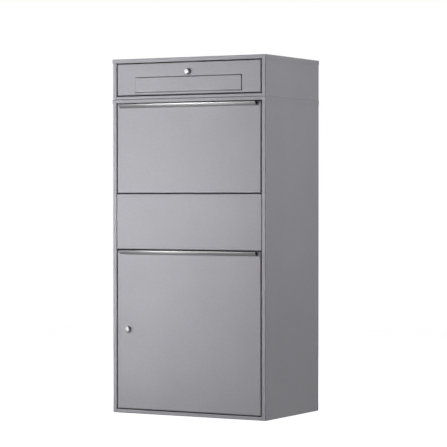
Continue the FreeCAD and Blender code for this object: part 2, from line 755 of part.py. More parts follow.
def handle_arc(edge_z):
    """Middle (y, z) and radius of the strip's outer curve, which bows out between rim and foot."""
    top = edge_z - HANDLE_BELOW_EDGE
    chord = math.hypot(HANDLE_OUT, HANDLE_DROP)
    radius = (chord ** 2 / 4 + HANDLE_BULGE ** 2) / (2 * HANDLE_BULGE)
    inward = (radius - HANDLE_BULGE) / chord
    centre_y = FRONT - HANDLE_OUT / 2 + inward * HANDLE_DROP
    centre_z = top - HANDLE_DROP / 2 + inward * HANDLE_OUT
    return centre_y, centre_z, radius


def pull_handle(edge_z):
    """Bowed strip along the door's upper edge, with its fixing leg inside the curve."""
    top = edge_z - HANDLE_BELOW_EDGE
    centre_y, centre_z, outer_r = handle_arc(edge_z)
    inner_r = outer_r - SHEET

    def level(radius, z):
        return centre_y - math.sqrt(radius ** 2 - (z - centre_z) ** 2), z

    leg_face = FRONT - SHEET
    leg_low = centre_z - math.sqrt(inner_r ** 2 - (leg_face - centre_y) ** 2)
    points = {
        "rim_out": (FRONT - HANDLE_OUT, top),
        "outer_middle": level(outer_r, top - HANDLE_DROP / 2),
        "foot": (FRONT, top - HANDLE_DROP),
        "leg_back": (FRONT, top - HANDLE_LEG_TOP),
        "leg_front": (leg_face, top - HANDLE_LEG_TOP),
        "leg_low": (leg_face, leg_low),
        "inner_middle": level(inner_r, (top + leg_low) / 2),
        "rim_in": level(inner_r, top),
    }
    spots = {name: at_yz(*point) for name, point in points.items()}
    edges = [
        Part.Arc(spots["rim_out"], spots["outer_middle"], spots["foot"]).toShape(),
        Part.LineSegment(spots["foot"], spots["leg_back"]).toShape(),
        Part.LineSegment(spots["leg_back"], spots["leg_front"]).toShape(),
        Part.LineSegment(spots["leg_front"], spots["leg_low"]).toShape(),
        Part.Arc(spots["leg_low"], spots["inner_middle"], spots["rim_in"]).toShape(),
        Part.LineSegment(spots["rim_in"], spots["rim_out"]).toShape(),
    ]
    strip = Part.Face(Part.Wire(edges)).extrude(FreeCAD.Vector(2 * HANDLE_HALF, 0, 0))
    strip.translate(FreeCAD.Vector(-HANDLE_HALF, 0, 0))
    return strip.cut(handle_screw_holes(edge_z))


def handle_caps(edge_z):
    """Plastic plugs that close the two ends of the bowed strip."""
    top = edge_z - HANDLE_BELOW_EDGE
    centre_y, centre_z, outer_r = handle_arc(edge_z)
    inside = rod((HANDLE_HALF, centre_y, centre_z), (-1, 0, 0), outer_r - SHEET - CAP_PLAY, CAP_DEPTH)
    keep = box(
        (0, SIDE), (FRONT - HANDLE_OUT, FRONT - SHEET - CAP_PLAY), (top - HANDLE_DROP, top - CAP_BELOW_RIM)
    )
    return pair(inside.common(keep))


def handle_screws(edge_z):
    """Screws from inside the door into the handle's leg."""
    z = handle_screw_z(edge_z)
    solids = []
    for x in HANDLE_SCREW_X:
        shank = rod((x, FRONT + SHEET, z), (0, -1, 0), HANDLE_SCREW_R, 2 * SHEET)
        head = rod((x, FRONT + SHEET, z), (0, 1, 0), HANDLE_SCREW_HEAD_R, HANDLE_SCREW_HEAD)
        solids.append(shank.fuse(head))
    return countable(solids)


# ---- Parcel flap with its tray ------------------------------------------------------------------
def parcel_flap():
    """Tilting flap. Its bottom edge is folded back less, to leave room for the cheeks."""
    flap = door_pan(DOOR_HALF, FLAP_LOW, FLAP_HIGH)
    inside = DOOR_HALF - SHEET
    short_bottom = box((-inside, inside), (FRONT + FLAP_BOTTOM_FOLD, BACK), (FLAP_LOW - 1, FLAP_LOW + 5))
    flap = flap.cut(short_bottom)
    return flap.cut(pivot_holes_x(FLAP_PIVOT_Z)).cut(handle_screw_holes(FLAP_HIGH))


def along_tray(distance, above):
    """Point of the tray's side view, by its distance from the pivot and above the pivot's line."""
    tilt = math.radians(TRAY_REST_DEG)
    y = PIVOT_Y + distance * math.cos(tilt) + above * math.sin(tilt)
    z = FLAP_PIVOT_Z - distance * math.sin(tilt) + above * math.cos(tilt)
    return y, z


def right_flap_cheek():
    """Side plate that closes the gap beside the open flap and carries the tray."""
    tilt = math.radians(TRAY_REST_DEG)
    front_y = PIVOT_Y - CHEEK_FRONT
    low_z = FLAP_PIVOT_Z - CHEEK_BELOW
    reach = math.radians((90.0 - TRAY_REST_DEG) / 2)
    middle = (
        PIVOT_Y + CHEEK_RADIUS * math.cos(reach),
        FLAP_PIVOT_Z + CHEEK_RADIUS * math.sin(reach),
    )
    end = (PIVOT_Y + CHEEK_RADIUS * math.cos(tilt), FLAP_PIVOT_Z - CHEEK_RADIUS * math.sin(tilt))
    corners = [
        end,
        along_tray(TRAY_START, 0),
        (PIVOT_Y + CHEEK_FLAT, low_z),
        (front_y, low_z),
        (front_y, FLAP_PIVOT_Z + CHEEK_RADIUS),
        (PIVOT_Y, FLAP_PIVOT_Z + CHEEK_RADIUS),
    ]
    spots = [at_yz(*corner) for corner in corners]
    edges = [Part.LineSegment(a, b).toShape() for a, b in zip(spots, spots[1:])]
    edges.append(Part.Arc(spots[-1], at_yz(*middle), spots[0]).toShape())
    cheek = Part.Face(Part.Wire(edges)).extrude(FreeCAD.Vector(SHEET, 0, 0))
    cheek.translate(FreeCAD.Vector(TRAY_HALF, 0, 0))
    return cheek.cut(pivot_holes_x(FLAP_PIVOT_Z))


def parcel_tray():
    """Sloping plate with a low wall at each side, which tips the parcel down as the flap shuts."""
    corners = [
        along_tray(TRAY_START, TRAY_RISE - SHEET),
        along_tray(TRAY_END, TRAY_RISE - SHEET),
        along_tray(TRAY_END, TRAY_RISE),
        along_tray(TRAY_START, TRAY_RISE),
    ]
    plate = flat_plate(corners, at_yz, FreeCAD.Vector(2 * TRAY_HALF, 0, 0))
    plate.translate(FreeCAD.Vector(-TRAY_HALF, 0, 0))
    wall = flat_plate(
        [
            along_tray(TRAY_START, TRAY_RISE - SHEET),
            along_tray(TRAY_END, TRAY_RISE - SHEET),
            along_tray(TRAY_END, TRAY_RISE + TRAY_WALL / 2),
            along_tray(TRAY_END - TRAY_WALL / 2, TRAY_RISE + TRAY_WALL),
            along_tray(TRAY_START + TRAY_WALL, TRAY_RISE + TRAY_WALL),
        ],
        at_yz, FreeCAD.Vector(SHEET, 0, 0),
    )
    wall.translate(FreeCAD.Vector(TRAY_HALF - SHEET, 0, 0))
    return plate.fuse(wall).fuse(mirrored(wall)).removeSplitter()


# ---- Parcel door --------------------------------------------------------------------------------
def parcel_door():
    """Side-hung door, with running holes for its pins in the folded top and bottom."""
    door = door_pan(DOOR_HALF, DOOR_LOW, DOOR_HIGH)
    for z in (DOOR_LOW, DOOR_HIGH):
        hole = rod((DOOR_PIVOT_X, PIVOT_Y, z - 2 * SHEET), (0, 0, 1), PIN_R + RUNNING, 4 * SHEET)
        door = door.cut(hole)
    return door.cut(lock_hole(DOOR_LOCK_X, DOOR_LOCK_Z)).cut(handle_screw_holes(DOOR_HIGH))


def parcel_door_stiffener():
    """Hat-shaped rib welded down the middle of the door's inside."""
    flange = 12.0
    half = 18.0
    rise = 10.0
    above_floor = 20.0
    below_top = 30.0
    face = FRONT + SHEET
    plan = [
        (-half - flange, face),
        (-half, face),
        (-half, face + rise),
        (half, face + rise),
        (half, face),
        (half + flange, face),
    ]
    height = DOOR_HIGH - DOOR_LOW - above_floor - below_top
    rib = folded_sheet(plan, at_xy, FreeCAD.Vector(0, 0, height))
    rib.translate(FreeCAD.Vector(0, 0, DOOR_LOW + above_floor))
    return rib


# ---- Every node by name -------------------------------------------------------------------------
DOWN = (0, -1)
LEFT = (-1, 0)

NODES = {
    "parcel_box_right_side": parcel_box_right_side(),
    "parcel_box_left_side": mirrored(parcel_box_right_side()),
    "parcel_box_back": parcel_box_back(),
    "parcel_box_base": parcel_box_base(),
    "parcel_box_lid": parcel_box_lid(),
    "blank_front_panel": blank_front_panel(),
    "mail_box_right_side": mail_box_right_side(),
    "mail_box_left_side": mirrored(mail_box_right_side()),
    "mail_box_back": back_panel(PARCEL_BOX_TOP, HEIGHT - SHEET),
    "mail_box_floor": mail_box_floor(),
    "mail_box_roof": mail_box_roof(),
    "back_panel_rivets": back_panel_rivets(),
    "module_bolts": module_bolts(),
    "module_nuts": module_nuts(),
    "mail_lock_strike": mail_lock_strike(),
    "mail_door_pivot_pins": side_pins(MAIL_PIVOT_Z),
    "mail_door_spacers": side_spacers(MAIL_PIVOT_Z),
    "parcel_flap_pivot_pins": side_pins(FLAP_PIVOT_Z),
    "parcel_flap_spacers": side_spacers(FLAP_PIVOT_Z),
    "parcel_door_pivot_pins": parcel_door_pivot_pins(),
    "parcel_door_spacers": parcel_door_spacers(),
    "flap_stop_brackets": flap_stop_brackets(),
    "flap_stop_buffers": flap_stop_buffers(),
    "door_stop_brackets": door_stop_brackets(),
    "door_stop_buffers": door_stop_buffers(),
    "tray_stop_studs": tray_stop_studs(),
    "tray_stop_sleeves": tray_stop_sleeves(),
    "mail_door": mail_door(),
    "slot_flap_brackets": slot_flap_brackets(),
    "slot_flap_rod": slot_flap_rod(),
    "slot_stop_strip": slot_stop_strip(),
    "slot_flap": slot_flap(),
    "mail_lock_housing": lock_housing(MAIL_LOCK_X, MAIL_LOCK_Z),
    "mail_lock_nut": lock_nut(MAIL_LOCK_X, MAIL_LOCK_Z),
    "mail_lock_barrel": lock_barrel(MAIL_LOCK_X, MAIL_LOCK_Z),
    "mail_lock_cam": lock_cam(MAIL_LOCK_X, MAIL_LOCK_Z, MAIL_CAM_REACH, LEFT),
    "mail_lock_cam_screw": lock_cam_screw(MAIL_LOCK_X, MAIL_LOCK_Z),
    "parcel_flap": parcel_flap(),
    "parcel_flap_handle": pull_handle(FLAP_HIGH),
    "parcel_flap_handle_caps": handle_caps(FLAP_HIGH),
    "parcel_flap_handle_screws": handle_screws(FLAP_HIGH),
    "right_flap_cheek": right_flap_cheek(),
    "left_flap_cheek": mirrored(right_flap_cheek()),
    "parcel_tray": parcel_tray(),
    "parcel_door": parcel_door(),
    "parcel_door_stiffener": parcel_door_stiffener(),
    "parcel_door_handle": pull_handle(DOOR_HIGH),
    "parcel_door_handle_caps": handle_caps(DOOR_HIGH),
    "parcel_door_handle_screws": handle_screws(DOOR_HIGH),
    "parcel_lock_housing": lock_housing(DOOR_LOCK_X, DOOR_LOCK_Z),
    "parcel_lock_nut": lock_nut(DOOR_LOCK_X, DOOR_LOCK_Z),
    "parcel_lock_barrel": lock_barrel(DOOR_LOCK_X, DOOR_LOCK_Z),
    "parcel_lock_cam": lock_cam(DOOR_LOCK_X, DOOR_LOCK_Z, DOOR_CAM_REACH, DOWN),
    "parcel_lock_cam_screw": lock_cam_screw(DOOR_LOCK_X, DOOR_LOCK_Z),
}

os.makedirs("parts", exist_ok=True)
for name, shape in NODES.items():
    if not shape.isValid():
        raise ValueError(name + " is not a valid shape")
    shape.exportStep("parts/" + name + ".step")
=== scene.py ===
import json
import math

import bmesh
import bpy
from mathutils import Matrix, Vector


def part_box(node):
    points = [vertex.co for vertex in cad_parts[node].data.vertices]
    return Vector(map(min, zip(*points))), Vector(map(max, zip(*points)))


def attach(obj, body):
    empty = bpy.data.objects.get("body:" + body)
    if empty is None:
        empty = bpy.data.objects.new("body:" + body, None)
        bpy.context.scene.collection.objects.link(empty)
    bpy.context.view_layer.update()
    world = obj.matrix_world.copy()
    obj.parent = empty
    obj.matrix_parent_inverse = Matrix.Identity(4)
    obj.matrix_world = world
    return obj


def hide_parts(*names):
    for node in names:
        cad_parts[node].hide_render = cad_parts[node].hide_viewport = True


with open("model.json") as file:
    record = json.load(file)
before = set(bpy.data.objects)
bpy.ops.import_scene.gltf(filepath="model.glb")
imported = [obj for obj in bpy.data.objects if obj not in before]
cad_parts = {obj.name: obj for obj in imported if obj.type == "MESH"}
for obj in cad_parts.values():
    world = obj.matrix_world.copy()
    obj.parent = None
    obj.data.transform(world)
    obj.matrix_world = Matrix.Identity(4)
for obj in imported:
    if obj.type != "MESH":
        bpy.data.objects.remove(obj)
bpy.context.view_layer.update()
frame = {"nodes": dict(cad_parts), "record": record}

MM = 0.001

# ---- Camera -------------------------------------------------------------------------------------
CAMERA_PLACE = (2.752, -4.928, 0.5785)
CAMERA_HEADING = 28.98        # degrees to the left of +Y
CAMERA_TILT = 0.708           # degrees below the horizon
CAMERA_LENS = 168.1
SENSOR = 36.0


def make_camera():
    data = bpy.data.cameras.new("camera")
    data.sensor_width = SENSOR
    data.lens = CAMERA_LENS
    camera = bpy.data.objects.new("camera", data)
    camera.location = CAMERA_PLACE
    camera.rotation_euler = (math.radians(90.0 - CAMERA_TILT), 0.0, math.radians(CAMERA_HEADING))
    bpy.context.scene.collection.objects.link(camera)
    bpy.context.scene.camera = camera


# ---- Material helpers ---------------------------------------------------------------------------
class Shader:
    """A material's node tree, with short calls for the nodes that this scene uses."""

    def __init__(self, name):
        self.material = bpy.data.materials.new(name)
        self.material.use_nodes = True
        self.tree = self.material.node_tree
        self.surface = self.tree.nodes["Principled BSDF"]
        self.position = self.node("ShaderNodeTexCoord").outputs["Object"]

    def node(self, kind, **settings):
        made = self.tree.nodes.new(kind)
        for name, value in settings.items():
            setattr(made, name, value)
        return made

    def link(self, source, target):
        self.tree.links.new(source, target)

    def set(self, **values):
        for name, value in values.items():
            self.surface.inputs[name.replace("_", " ")].default_value = value

    def stretched(self, scale):
        """Object position scaled differently along each axis."""
        mapping = self.node("ShaderNodeMapping")
        mapping.inputs["Scale"].default_value = scale
        self.link(self.position, mapping.inputs["Vector"])
        return mapping.outputs["Vector"]

    def noise(self, scale, detail=2.0, roughness=0.5, vector=None):
        made = self.node("ShaderNodeTexNoise")
        made.inputs["Scale"].default_value = scale
        made.inputs["Detail"].default_value = detail
        made.inputs["Roughness"].default_value = roughness
        self.link(vector or self.position, made.inputs["Vector"])
        return made.outputs["Fac"]

    def cells(self, scale):
        made = self.node("ShaderNodeTexVoronoi")
        made.inputs["Scale"].default_value = scale
        self.link(self.position, made.inputs["Vector"])
        return made.outputs["Color"]

    def ramp(self, factor, low, high, start=0.3, end=0.7):
        """Colour or grey that runs from low to high."""
        made = self.node("ShaderNodeValToRGB")
        made.color_ramp.elements[0].position = start
        made.color_ramp.elements[1].position = end
        made.color_ramp.elements[0].color = low
        made.color_ramp.elements[1].color = high
        self.link(factor, made.inputs["Fac"])
        return made.outputs["Color"]

    def span(self, factor, low, high):
        """Number that runs from low to high."""
        made = self.node("ShaderNodeMapRange")
        made.inputs["To Min"].default_value = low
        made.inputs["To Max"].default_value = high
        self.link(factor, made.inputs["Value"])
        return made.outputs["Result"]

    def mix(self, factor, first, second, blend="MIX"):
        made = self.node("ShaderNodeMix", data_type="RGBA", blend_type=blend)
        if isinstance(factor, float):
            made.inputs["Factor"].default_value = factor
        else:
            self.link(factor, made.inputs["Factor"])
        self.link(first, made.inputs["A"])
        self.link(second, made.inputs["B"])
        return made.outputs["Result"]

    def bump(self, height, strength, distance, over=None):
        made = self.node("ShaderNodeBump")
        made.inputs["Strength"].default_value = strength
        made.inputs["Distance"].default_value = distance
        self.link(height, made.inputs["Height"])
        if over:
            self.link(over, made.inputs["Normal"])
        return made.outputs["Normal"]


def grey(value, warmth=0.0):
    """Near-neutral colour. Positive warmth takes blue away."""
    return (value, value, value * (1.0 - warmth), 1.0)


# ---- Materials ----------------------------------------------------------------------------------
def powder_coat():
    """Silver-grey metallic powder coat: a fine orange peel, tiny bright flakes, slow cloudiness."""
    shader = Shader("powder_coat")
    cloud = shader.ramp(shader.noise(6.0, 3.0), (0.405, 0.401, 0.432, 1), (0.430, 0.426, 0.458, 1))
    mottle = shader.ramp(shader.noise(240.0, 2.0, 0.6), grey(0.955), grey(1.045))
    grain = shader.ramp(shader.noise(900.0, 3.0, 0.7), grey(0.88), grey(1.12), 0.25, 0.75)
    flakes = shader.ramp(shader.cells(1600.0), grey(0.96), grey(1.25), 0.80, 0.98)
    colour = shader.mix(1.0, shader.mix(1.0, cloud, mottle, "MULTIPLY"), grain, "MULTIPLY")
    shader.link(shader.mix(1.0, colour, flakes, "MULTIPLY"), shader.surface.inputs["Base Color"])
    shader.link(shader.span(shader.noise(220.0), 0.41, 0.51), shader.surface.inputs["Roughness"])
    shader.set(Metallic=0.27)
    peel = shader.bump(shader.noise(650.0, 2.0), 0.25, 0.00008)
    fine = shader.bump(shader.noise(2600.0, 1.0), 0.12, 0.00003, peel)
    shader.link(fine, shader.surface.inputs["Normal"])
    return shader.material


def brushed_stainless():
    """Stainless steel brushed along its length."""
    shader = Shader("brushed_stainless")
    lines = shader.noise(1.0, 4.0, 0.65, shader.stretched((9.0, 2600.0, 2600.0)))
    smear = shader.noise(1.0, 2.0, 0.5, shader.stretched((3.0, 500.0, 500.0)))
    brushed = shader.ramp(lines, grey(0.36, -0.02), grey(0.52, -0.02))
    streaks = shader.ramp(smear, grey(0.93), grey(1.05))
    shader.link(shader.mix(1.0, brushed, streaks, "MULTIPLY"), shader.surface.inputs["Base Color"])
    shader.link(shader.span(lines, 0.27, 0.36), shader.surface.inputs["Roughness"])
    shader.set(Metallic=1.0, Anisotropic=0.95)
    across = shader.node("ShaderNodeCombineXYZ")
    across.inputs["Z"].default_value = 1.0
    shader.link(across.outputs["Vector"], shader.surface.inputs["Tangent"])
    shader.link(shader.bump(lines, 0.18, 0.00004), shader.surface.inputs["Normal"])
    return shader.material


def lock_chrome():
    """Chrome plate with the faint haze of a die casting under it."""
    shader = Shader("lock_chrome")
    haze = shader.noise(500.0, 3.0)
    shader.link(shader.ramp(haze, grey(0.40), grey(0.48)), shader.surface.inputs["Base Color"])
    shader.link(shader.span(haze, 0.26, 0.36), shader.surface.inputs["Roughness"])
    shader.set(Metallic=1.0)
    shader.link(shader.bump(haze, 0.06, 0.00004), shader.surface.inputs["Normal"])
    return shader.material


def zinc_plate():
    """Bright zinc with its patchwork of slightly different crystals."""
    shader = Shader("zinc_plate")
    crystals = shader.ramp(shader.cells(700.0), grey(0.52, -0.02), grey(0.68, -0.03), 0.1, 0.9)
    shader.link(crystals, shader.surface.inputs["Base Color"])
    shader.link(shader.span(shader.noise(300.0), 0.26, 0.44), shader.surface.inputs["Roughness"])
    shader.set(Metallic=1.0)
    shader.link(shader.bump(shader.noise(1500.0), 0.10, 0.00003), shader.surface.inputs["Normal"])
    return shader.material


def moulded(name, dark, light, rough_low, rough_high, scale):
    """Moulded plastic or rubber with a fine grain."""
    shader = Shader(name)
    grain = shader.noise(scale, 3.0, 0.6)
    shader.link(shader.ramp(grain, dark, light), shader.surface.inputs["Base Color"])
    shader.link(shader.span(grain, rough_low, rough_high), shader.surface.inputs["Roughness"])
    shader.link(shader.bump(grain, 0.20, 0.00005), shader.surface.inputs["Normal"])
    return shader.material


def make_materials():
    """One Blender material for each of the record's slots."""
    return {
        "powder_coat": powder_coat(),
        "brushed_stainless": brushed_stainless(),
        "lock_chrome": lock_chrome(),
        "zinc_plated_steel": zinc_plate(),
        "black_plastic": moulded("black_plastic", grey(0.012), grey(0.022), 0.42, 0.60, 900.0),
        "black_rubber": moulded("black_rubber", grey(0.014), grey(0.030), 0.70, 0.88, 1300.0),
    }


def dress_cad_nodes(materials):
    """Gives every CAD node the material of its slot in the record."""
    for row in frame["record"]["subparts"]:
        node = frame["nodes"][row["node"]]
        node.data.materials.clear()
        node.data.materials.append(materials[row["material_slot"]])


# ---- Mesh helpers -------------------------------------------------------------------------------
def solid(name, points, faces):
    """Object from points in metres, with its faces turned outwards."""
    data = bpy.data.meshes.new(name)
    data.from_pydata([tuple(point) for point in points], [], faces)
    mesh = bmesh.new()
    mesh.from_mesh(data)
    bmesh.ops.remove_doubles(mesh, verts=mesh.verts, dist=1e-7)
    bmesh.ops.recalc_face_normals(mesh, faces=mesh.faces)
    mesh.to_mesh(data)
    mesh.free()
    made = bpy.data.objects.new(name, data)
    bpy.context.scene.collection.objects.link(made)
    return made


def smooth(piece, angle=35.0):
    """Smooth shading, with edges sharper than the angle kept sharp."""
    mesh = bmesh.new()
    mesh.from_mesh(piece.data)
    for face in mesh.faces:
        face.smooth = True
    for edge in mesh.edges:
        edge.smooth = not (edge.is_manifold and edge.calc_face_angle(0.0) > math.radians(angle))
    mesh.to_mesh(piece.data)
    mesh.free()
    return piece


def turning(axis):
    """Rotation that takes +Z to the axis."""
    return Vector((0, 0, 1)).rotation_difference(Vector(axis)).to_matrix().to_4x4()


def lathe_mesh(profile, centre, axis, segments):
    """Points and faces of a profile of (radius, height) turned about an axis."""
    place = Matrix.Translation(Vector(centre)) @ turning(axis)
    points = []
    for radius, height in profile:
        for i in range(segments):
            angle = 2 * math.pi * i / segments
            spot = Vector((radius * math.cos(angle), radius * math.sin(angle), height))
            points.append(place @ spot)
    faces = []
    for ring in range(len(profile) - 1):
        for i in range(segments):
            j = (i + 1) % segments
            a = ring * segments
            b = a + segments
            faces.append((a + i, a + j, b + j, b + i))
    return points, faces


def closed_lathe(profile, centre, axis, segments=48):
    """Turned piece that is closed by flat ends, or by its last point meeting its first."""
    points, faces = lathe_mesh(profile, centre, axis, segments)
    if profile[0] != profile[-1]:
        faces.append(tuple(range(segments)))
        faces.append(tuple(range(len(points) - segments, len(points))))
    return points, faces


def joined(name, parts):
    """One object from several lists of points and faces."""
    points = []
    faces = []
    for part_points, part_faces in parts:
        offset = len(points)
        points += part_points
        faces += [tuple(index + offset for index in face) for face in part_faces]
    return solid(name, points, faces)


def prism_mesh(outline, place):
    """Points and faces of an outline run between two ends. place turns (u, v, end) into a point."""
    count = len(outline)
    points = [place(u, v, 0) for u, v in outline] + [place(u, v, 1) for u, v in outline]
    faces = [tuple(range(count)), tuple(range(2 * count - 1, count - 1, -1))]
    for i in range(count):
        j = (i + 1) % count
        faces.append((i, j, count + j, count + i))
    return points, faces


def carve(piece, cutter):
    """Cuts the cutter out of the piece and removes the cutter."""
    modifier = piece.modifiers.new("carve", "BOOLEAN")
    modifier.operation = "DIFFERENCE"
    modifier.solver = "EXACT"
    modifier.object = cutter
    bpy.context.view_layer.objects.active = piece
    bpy.ops.object.modifier_apply(modifier=modifier.name)
    bpy.data.objects.remove(cutter)
    return piece


def finish_piece(piece, material, slot, body, *nodes):
    """Material, body and the CAD nodes that the piece stands for."""
    piece.data.materials.clear()
    piece.data.materials.append(material)
    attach(piece, body)
    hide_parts(*nodes)
    return piece


def islands(node):
    """Lowest and highest corner of each separate solid in a CAD node, from left to right."""
    mesh = bmesh.new()
    mesh.from_mesh(frame["nodes"][node].data)
    bmesh.ops.remove_doubles(mesh, verts=mesh.verts, dist=1e-6)
    left = set(mesh.verts)
    boxes = []
    while left:
        group = [left.pop()]
        for vertex in group:
            for edge in vertex.link_edges:
                other = edge.other_vert(vertex)
                if other in left:
                    left.remove(other)
                    group.append(other)
        low = Vector(min(v.co[i] for v in group) for i in range(3))
        high = Vector(max(v.co[i] for v in group) for i in range(3))
        boxes.append((low, high))
    mesh.free()
    return sorted(boxes, key=lambda box: (round(box[0].x, 4), round(box[0].y, 4), round(box[0].z, 4)))


# ---- Pull handles -------------------------------------------------------------------------------
HANDLE_SHEET = 1.2 * MM
HANDLE_BULGE = 2.6 * MM       # how far the strip bows out from a straight line
HANDLE_LEG_TOP = 2.0 * MM
HANDLE_BEAD_R = 1.0 * MM
HANDLE_EASE = 0.3 * MM
HANDLE_STEPS = 24
BEAD_START = -70.0            # degrees, where the bead's round begins, behind the rim
BEAD_STEPS = 14


def handle_outline(low, high):
    """Section (y, z) of the bowed strip, with its rim rolled into a bead and its fixing leg."""
    reach = high.y - low.y
    drop = high.z - low.z
    wall = high.y
    top = high.z
    chord = math.hypot(reach, drop)
    radius = (chord ** 2 / 4 + HANDLE_BULGE ** 2) / (2 * HANDLE_BULGE)
    inward = (radius - HANDLE_BULGE) / chord
    centre = Vector((wall - reach / 2 + inward * drop, top - drop / 2 + inward * reach))
    inner = radius - HANDLE_SHEET
    bead_z = top - HANDLE_BEAD_R
    bead_y = centre.x - math.sqrt((radius - HANDLE_BEAD_R) ** 2 - (bead_z - centre.y) ** 2)
    bead_turn = math.atan2(bead_z - centre.y, bead_y - centre.x) % (2 * math.pi)
    foot_turn = math.atan2(top - drop - centre.y, wall - centre.x) % (2 * math.pi)
    leg_face = wall - HANDLE_SHEET
    leg_low = centre.y - math.sqrt(inner ** 2 - (leg_face - centre.x) ** 2)
    leg_turn = math.atan2(leg_low - centre.y, leg_face - centre.x) % (2 * math.pi)
    inner_turn = bead_turn + 2.0 * HANDLE_BEAD_R / inner

    def on_arc(arc_radius, turn):
        return centre.x + arc_radius * math.cos(turn), centre.y + arc_radius * math.sin(turn)

    outline = []
    bead_start = math.radians(BEAD_START)
    for i in range(BEAD_STEPS + 1):
        turn = bead_start + (bead_turn - bead_start) * i / BEAD_STEPS
        across = HANDLE_BEAD_R * math.cos(turn)
        up = HANDLE_BEAD_R * math.sin(turn)
        outline.append((bead_y + across, bead_z + up))
    for i in range(1, HANDLE_STEPS + 1):
        outline.append(on_arc(radius, bead_turn + (foot_turn - bead_turn) * i / HANDLE_STEPS))
    leg_top = top - HANDLE_LEG_TOP
    outline.append((wall, leg_top - HANDLE_EASE))
    outline.append((wall - HANDLE_EASE, leg_top))
    outline.append((leg_face + HANDLE_EASE, leg_top))
    outline.append((leg_face, leg_top - HANDLE_EASE))
    for i in range(HANDLE_STEPS + 1):
        outline.append(on_arc(inner, leg_turn + (inner_turn - leg_turn) * i / HANDLE_STEPS))
    return outline


def make_handle(node, body, materials):
    low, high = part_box(node)
    ends = (low.x, high.x)
    outline = handle_outline(low, high)
    points, faces = prism_mesh(outline, lambda y, z, end: Vector((ends[end], y, z)))
    piece = smooth(solid(node + "_strip", points, faces), 28.0)
    bevel = piece.modifiers.new("eased_ends", "BEVEL")
    bevel.width = 0.12 * MM
    bevel.segments = 2
    bevel.limit_method = "ANGLE"
    bevel.angle_limit = math.radians(60.0)
    finish_piece(piece, materials["brushed_stainless"], "brushed_stainless", body, node)


# ---- Cam locks ----------------------------------------------------------------------------------
LOCK_PROUD = 6.5 * MM         # how far the head stands out of the door
LOCK_BORE = 6.05 * MM         # radius of the hole for the barrel
LOCK_THREAD_R = 8.0 * MM
LOCK_PITCH = 1.0 * MM
LOCK_TAIL = 7.0 * MM          # across the square that carries the cam
LOCK_TAIL_LENGTH = 2.0 * MM
KEYWAY_DEPTH = 9.0 * MM


def make_lock_head(node, body, materials):
    """Die-cast head with a rolled rim, a tapered neck and a dished front, on its threaded body."""
    low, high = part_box(node)
    centre = (low + high) / 2
    front = low.y
    rim_r = (high.x - low.x) / 2
    length = high.y - front
    profile = [
        (LOCK_BORE, 0.7 * MM),
        (LOCK_BORE + 0.35 * MM, 0.25 * MM),
        (rim_r - 2.6 * MM, 0.0),
        (rim_r - 2.1 * MM, 0.12 * MM),
        (rim_r - 1.75 * MM, 0.5 * MM),
        (rim_r - 0.9 * MM, 3.9 * MM),
        (rim_r - 0.75 * MM, 4.3 * MM),
        (rim_r - 0.25 * MM, 4.55 * MM),
        (rim_r, 5.0 * MM),
        (rim_r, LOCK_PROUD - 0.15 * MM),
        (rim_r - 0.2 * MM, LOCK_PROUD),
        (LOCK_THREAD_R, LOCK_PROUD),
    ]
    depth = LOCK_PROUD + 1.2 * MM
    while depth + LOCK_PITCH < length - 0.4 * MM:
        profile.append((LOCK_THREAD_R - 0.05 * MM, depth))
        profile.append((LOCK_THREAD_R - 0.45 * MM, depth + LOCK_PITCH / 2))
        depth += LOCK_PITCH
    profile.append((LOCK_THREAD_R - 0.05 * MM, depth))
    profile.append((LOCK_THREAD_R - 0.5 * MM, length))
    profile.append((LOCK_BORE, length))
    profile.append(profile[0])
    place = (centre.x, front, centre.z)
    points, faces = closed_lathe(profile, place, (0, 1, 0), 72)
    piece = smooth(solid(node + "_turned", points, faces), 32.0)
    finish_piece(piece, materials["lock_chrome"], "lock_chrome", body, node)


def make_lock_barrel(node, body, materials):
    """Barrel with an eased face and a keyway, and the square tail that carries the cam."""
    low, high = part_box(node)
    centre = (low + high) / 2
    radius = (high.x - low.x) / 2
    front = low.y
    cam_from = high.y - front - LOCK_TAIL_LENGTH
    profile = [
        (radius - 2.0 * MM, 0.0),
        (radius - 0.7 * MM, 0.05 * MM),
        (radius - 0.15 * MM, 0.35 * MM),
        (radius, 0.8 * MM),
        (radius, cam_from),
    ]
    place = (centre.x, front, centre.z)
    piece = solid(node + "_turned", *closed_lathe(profile, place, (0, 1, 0), 64))
    slot = [
        (centre.x - 4.0 * MM, centre.z + 0.4 * MM),
        (centre.x + 4.0 * MM, centre.z + 0.4 * MM),
        (centre.x + 4.0 * MM, centre.z + 1.3 * MM),
        (centre.x + 2.2 * MM, centre.z + 1.3 * MM),
        (centre.x + 2.2 * MM, centre.z + 2.1 * MM),
        (centre.x - 4.0 * MM, centre.z + 2.1 * MM),
    ]
    depths = (front - 1.0 * MM, front + KEYWAY_DEPTH)
    cutter = solid("keyway", *prism_mesh(slot, lambda x, z, end: Vector((x, depths[end], z))))
    carve(piece, cutter)
    smooth(piece, 32.0)
    finish_piece(piece, materials["lock_chrome"], "lock_chrome", body, node)
    half = LOCK_TAIL / 2
    square = [
        (centre.x + a * half, centre.z + b * half) for a, b in ((-1, -1), (1, -1), (1, 1), (-1, 1))
    ]
    tail_ends = (front + cam_from, high.y)
    points, faces = prism_mesh(square, lambda x, z, end: Vector((x, tail_ends[end], z)))
    end_piece = solid(node + "_tail", points, faces)
    edge = end_piece.modifiers.new("eased", "BEVEL")
    edge.width = 0.3 * MM
    edge.segments = 2
    end_piece.data.materials.append(materials["lock_chrome"])
    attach(end_piece, body)


